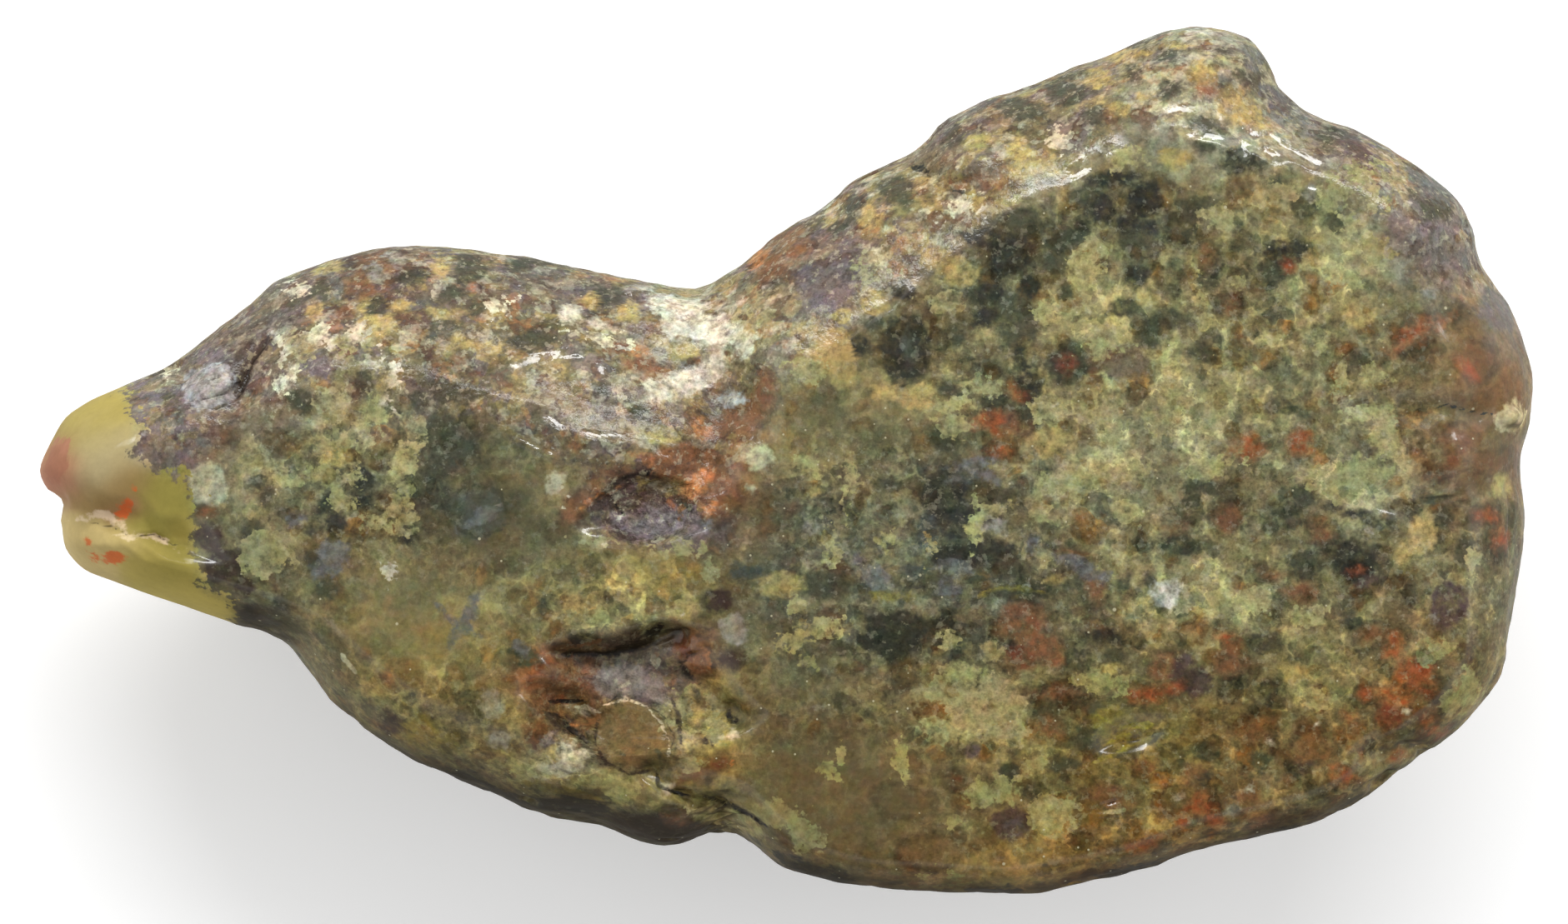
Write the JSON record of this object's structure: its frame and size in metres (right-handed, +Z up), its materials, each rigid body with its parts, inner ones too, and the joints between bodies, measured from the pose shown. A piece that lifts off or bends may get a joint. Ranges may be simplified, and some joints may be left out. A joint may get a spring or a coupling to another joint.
{
  "type": "coprolite",
  "caption": "Polished agatised fossil dung, one flat-bellied stone of a large lobe, a waist and a small lobe with a blunt nose.",
  "frame": {"origin": "at the base, under the centre of the stone's box", "axes": "+X from the nose to the broad end, +Y towards the knob's side, +Z up out of the polished face"},
  "size_m": [0.0598, 0.0347, 0.0177],
  "materials": {
    "stone": "polished"
  },
  "bodies": {
    "root": {"coprolite": "stone"}
  },
  "joints": []
}
